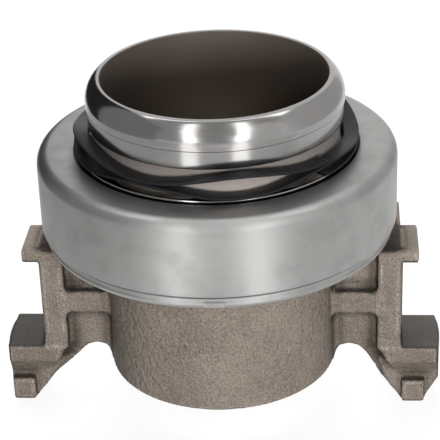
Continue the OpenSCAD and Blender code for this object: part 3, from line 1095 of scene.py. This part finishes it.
@dataclass
class WaveSpring:
    """Spring of flat wire that lies round the neck in two turns, crest to crest."""

    inner_r: float = 42.2
    width: float = 5.0
    thick: float = 0.9
    edge: float = 0.2
    seat_z: float = 97.15
    wave: float = 3.2
    turns: int = 2
    waves: float = 4.5
    play: float = 0.05
    start: float = -37.0
    start_waves: float = 1.5
    step_waves: float = 1.75
    step_lead: float = 0.375
    steps_per_wave: int = 40

    def build(self) -> bpy.types.Object:
        """Carries the wire's rounded section along the wave.

        At angle a the wire's underside is at half the wave's height times (1 - cos(waves a)), which
        swings up over the first waves, plus a smooth step of one wave and one thickness for each turn.

        Returns:
            The object.
        """
        steps = int(self.turns * self.waves * self.steps_per_wave)
        a = np.linspace(0.0, 2 * np.pi * self.turns, steps + 1)
        waved = a / (2 * np.pi) * self.waves
        base = self.seat_z + self.wave / 2 * (1 - np.cos(self.waves * a)) * ease(waved / self.start_waves)
        for turn in range(1, self.turns + 1):
            late = waved - turn * self.waves + self.step_lead
            base = base + (self.wave + self.thick + self.play) * ease(late / self.step_waves)
        edge = self.edge
        right, left, top = self.inner_r + self.width - edge, self.inner_r + edge, self.thick - edge
        section = outline(
            arc((left, edge), edge, 180, 270, 4), arc((right, edge), edge, 270, 360, 4),
            arc((right, top), edge, 0, 90, 4), arc((left, top), edge, 90, 180, 4),
        )
        points = around_axis(section, a + math.radians(self.start), base)
        count = len(section)
        faces = grid_faces(steps + 1, count, False, True)[:, ::-1].tolist()
        faces.append(list(range(count)))
        faces.append([steps * count + k for k in reversed(range(count))])
        return mesh_object("wave_spring_wire", points, faces)

    def finish(self, obj: bpy.types.Object, effects: Effects) -> None:
        """Dresses the spring and puts it on its body in place of the plain solid."""
        blued = SkinFinish("blued_spring_wire", (0.006, 0.006, 0.007), (0.014, 0.014, 0.016), 0.36, 0.0,
                           0.00001)
        dress(obj, blued.material(effects))
        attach(obj, Body.RACE.value)
        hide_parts("wave_spring")


@dataclass
class BearingInside:
    """Rings, balls, cage, seals and bushes, which keep their solids and get their finishes here."""

    nodes: dict[str, bpy.types.Object]

    def finish(self, effects: Effects) -> None:
        """Gives each carried-over solid its own procedural material."""
        ground = TurnedSteel("ground_ring_steel", (0.56, 0.56, 0.57), (0.44, 0.44, 0.45), 0.16, 0.08,
                             2600.0, 0.00001, 0.2).material(effects)
        ball = TurnedSteel("lapped_ball_steel", (0.72, 0.72, 0.73), (0.66, 0.66, 0.67), 0.04, 0.02,
                           600.0, 0.000002, 0.1).material(effects)
        bronze = TurnedSteel("bored_bronze", (0.44, 0.29, 0.12), (0.33, 0.21, 0.08), 0.26, 0.12,
                             1600.0, 0.00002, 0.4).material(effects)
        rubber = SkinFinish("seal_rubber_skin", (0.012, 0.012, 0.013), (0.03, 0.03, 0.031), 0.55, 0.0,
                            0.00003).material(effects)
        moulded = SkinFinish("cage_moulding", (0.075, 0.05, 0.03), (0.11, 0.075, 0.045), 0.45, 0.0,
                             0.00002).material(effects)
        finishes = {"outer_ring": ground, "front_seal": rubber, "rear_seal": rubber, "ball_cage": moulded,
                    "guide_bush_lower": bronze, "guide_bush_upper": bronze}
        for name, node in self.nodes.items():
            material = ball if name.startswith("ball_") and name != "ball_cage" else finishes.get(name)
            if material is not None:
                dress(node, material)


@dataclass
class Studio:
    """Pale floor, soft light and a camera at the photograph's viewing angle."""

    aim: tuple[float, float, float] = (0.0, 0.0, 60.0)
    distance: float = 577.0
    azimuth: float = 4.5
    elevation: float = 27.9
    roll: float = -2.09
    lens: float = 137.8
    lift: float = 5.9
    shift: float = 0.0014
    floor_tone: float = 0.14
    floor_seen: float = 0.86
    floor_shine: float = 0.72
    room_wide: float = 1500.0
    room_front: float = -1300.0
    room_high: float = 1300.0

    def camera(self) -> None:
        """Places the camera round the aim point, tips it up by the lift and rolls it."""
        turn, rise = math.radians(self.azimuth), math.radians(self.elevation)
        back = Vector((math.cos(rise) * math.sin(turn), -math.cos(rise) * math.cos(turn), math.sin(rise)))
        right = Vector((math.cos(turn), math.sin(turn), 0.0))
        up = back.cross(right)
        place = (Vector(self.aim) + back * self.distance) * MM
        target = (Vector(self.aim) + up * self.lift) * MM
        data = bpy.data.cameras.new("photo_camera")
        data.lens = self.lens
        data.sensor_width = 36.0
        data.shift_x = self.shift
        data.clip_start = 0.01
        camera = bpy.data.objects.new("photo_camera", data)
        look = (target - place).to_track_quat("-Z", "Y").to_matrix().to_4x4()
        camera.matrix_world = (
            Matrix.Translation(place) @ look @ Matrix.Rotation(math.radians(self.roll), 4, "Z")
        )
        bpy.context.scene.collection.objects.link(camera)
        bpy.context.scene.camera = camera

    def lamp(self, name: str, place: Point, size: tuple[float, float], watts: float,
             aim: Point = (0.0, 0.0, 0.07), glossy: bool = True, diffuse: bool = True) -> None:
        """Adds a rectangular soft lamp.

        Args:
            name: the lamp's name.
            place: its place in metres.
            size: its width and height in metres.
            watts: its power.
            aim: point that it faces, in metres.
            glossy: whether metal shows the lamp itself.
            diffuse: whether it lights matt faces.
        """
        data = bpy.data.lights.new(name, "AREA")
        data.shape = "RECTANGLE"
        data.size, data.size_y = size
        data.energy = watts
        lamp = bpy.data.objects.new(name, data)
        lamp.location = place
        lamp.rotation_euler = (Vector(aim) - Vector(place)).to_track_quat("-Z", "Y").to_euler()
        lamp.visible_glossy, lamp.visible_diffuse = glossy, diffuse
        bpy.context.scene.collection.objects.link(lamp)

    @staticmethod
    def rays(g: Graph) -> tuple[bpy.types.NodeSocket, bpy.types.NodeSocket]:
        """Marks of the rays that see a thing straight on or through glass, and of those off metal."""
        path = g.add("ShaderNodeLightPath")
        seen = g.math("MAXIMUM", path.outputs["Is Camera Ray"], path.outputs["Is Transmission Ray"])
        return seen, path.outputs["Is Glossy Ray"]

    def matt(self, name: str, tone: float, seen_glow: float, shine: float) -> bpy.types.Material:
        """Makes a matt grey that is lighter to the camera or in a reflection.

        Args:
            name: the material's name.
            tone: its grey.
            seen_glow: white that is added where it is seen straight on or through glass.
            shine: white that is added where metal shows it.

        Returns:
            The material.
        """
        material, g, shader = start_material(name)
        shader.inputs["Base Color"].default_value = (tone, tone, tone, 1.0)
        shader.inputs["Roughness"].default_value = 0.9
        shader.inputs["Emission Color"].default_value = (1.0, 1.0, 1.0, 1.0)
        seen, glossy = self.rays(g)
        glow = g.plus(g.times(seen, seen_glow), g.times(glossy, shine))
        g.link(glow, shader.inputs["Emission Strength"])
        return material

    def floor(self) -> None:
        """Adds the pale floor, a plane that is white to the camera where no shadow falls."""
        reach = 4000.0
        corners = np.array([[-reach, -reach, 0], [reach, -reach, 0], [reach, reach, 0], [-reach, reach, 0]])
        plane = mesh_object("studio_floor", corners - [0, 0, 0.02], [[0, 1, 2, 3]], smooth=False)
        dress(plane, self.matt("floor_white", self.floor_tone, self.floor_seen, self.floor_shine))

    @staticmethod
    def upright(start: tuple[float, float], end: tuple[float, float], low: float, high: float) -> list[Point]:
        """Corners of a card that stands on the line from start to end."""
        return [(*start, low), (*end, low), (*end, high), (*start, high)]

    @staticmethod
    def level(near: tuple[float, float], far: tuple[float, float], height: float) -> list[Point]:
        """Corners of a level card between two opposite corners."""
        spots = [near, (far[0], near[1]), far, (near[0], far[1])]
        return [(x, y, height) for x, y in spots]

    def card(self, name: str, corners: list[Point], tone: float, glow: float = 0.0) -> None:
        """Sets up a matt card that only a reflection shows.

        Args:
            name: the card's name.
            corners: its corners in millimetres.
            tone: its grey.
            glow: how much lighter it is in a reflection.
        """
        sheet = mesh_object(name, np.array(corners), [list(range(len(corners)))], smooth=False)
        dress(sheet, self.matt(name + "_paper", tone, 0.0, glow))
        sheet.visible_camera = sheet.visible_diffuse = sheet.visible_shadow = False

    def world(self) -> None:
        """Gives the room a soft grey light that is white to the camera."""
        world = bpy.data.worlds.new("studio_world")
        world.use_nodes = True
        g = Graph(world.node_tree)
        ground = world.node_tree.nodes["Background"]
        colour = g.mix(g.math("MAXIMUM", *self.rays(g)), (0.09, 0.09, 0.092), (1.0, 1.0, 1.0))
        g.link(colour, ground.inputs["Color"])
        bpy.context.scene.world = world

    def lamps(self) -> None:
        """Hangs the lamps: soft ones for the matt faces, and three strips a side that only metal shows.

        The upper strips lean back in planes that lie to the left and right of the camera's own, so that
        their reflections stand upright on the nose.
        """
        self.lamp("top_softbox", (-0.1, 0.3, 0.9), (0.6, 0.5), 6.0, glossy=False)
        self.lamp("front_key", (0.1, -0.43, 0.17), (0.14, 0.08), 1.9, glossy=False)
        self.lamp("high_key", (0.2, -0.95, 0.6), (0.25, 0.25), 4.5, glossy=False)
        self.lamp("back_fill", (-0.1, 1.0, 0.5), (0.6, 0.4), 9.0, glossy=False)
        turn = math.radians(self.azimuth)
        right = Vector((math.cos(turn), math.sin(turn), 0.0))
        front = Vector((math.sin(turn), -math.cos(turn), 0.0))
        away, aside, ahead = 0.25, 0.108, 0.235
        for side, sign, bearing in (("left", -1.0, -16.5), ("right", 1.0, 22.8)):
            x, y = away * math.sin(math.radians(bearing)), -away * math.cos(math.radians(bearing))
            self.lamp(side + "_strip", (x, y, 0.12), (0.036, 0.36), 0.075, (0.0, 0.0, 0.416), diffuse=False)
            plane = sign * aside * right
            place, aim = plane + ahead * front + Vector((0.0, 0.0, 0.3)), plane + Vector((0.0, 0.0, 0.218))
            self.lamp(side + "_upper_strip", tuple(place), (0.06, 0.424), 0.27, tuple(aim), diffuse=False)
            self.lamp(side + "_top_strip", (0.22 * sign, 0.0, 0.6), (0.12, 0.32), 0.3, diffuse=False)

    def cards(self) -> None:
        """Sets the cards round the part: dark and grey walls, cards on the floor and the room's front."""
        self.card("left_flag", self.upright((-230, 60), (-150, 330), 40, 420), 0.02)
        self.card("left_wall", self.upright((-330, -330), (-230, 60), 40, 420), 0.1, 0.22)
        self.card("right_wall", self.upright((190, -350), (350, -200), 5, 500), 0.1, 0.75)
        self.card("right_flag", self.upright((300, -150), (200, 330), 40, 420), 0.4, 0.3)
        beside = [(-500, -400), (-152, -400), (-152, -74), (-98, -70), (-104, 40), (-150, 220), (-500, 220)]
        self.card("left_card", [(x, y, 1) for x, y in beside], 0.1, 0.45)
        self.card("front_card", self.level((-150, -700), (300, -75), 2), 0.15, 0.48)
        left, right = (-self.room_wide, self.room_front), (self.room_wide, self.room_front)
        self.card("room_end", self.upright(left, right, 0, self.room_high), 0.1, 0.45)
        self.card("room_top", self.level(left, (self.room_wide, -100), self.room_high), 0.1, 0.45)

    def build(self) -> None:
        """Builds the camera, floor, world, lamps and cards."""
        self.camera()
        self.floor()
        self.world()
        self.lamps()
        self.cards()
        bpy.context.scene.view_settings.view_transform = "Standard"


def main() -> None:
    """Loads the frame, builds and dresses each sub-assembly and sets the studio."""
    logging.basicConfig(level=logging.INFO, format="%(name)s: %(message)s")
    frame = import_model()
    effects = Effects()
    BearingInside(frame["nodes"]).finish(effects)
    for piece in (CastSleeve(), DrawnCover(), NoseRing(), WaveSpring()):
        obj = piece.build()
        piece.finish(obj, effects)
        LOG.info("%s: %d faces", obj.name, len(obj.data.polygons))
    Studio().build()


if __name__ == "__main__":
    main()
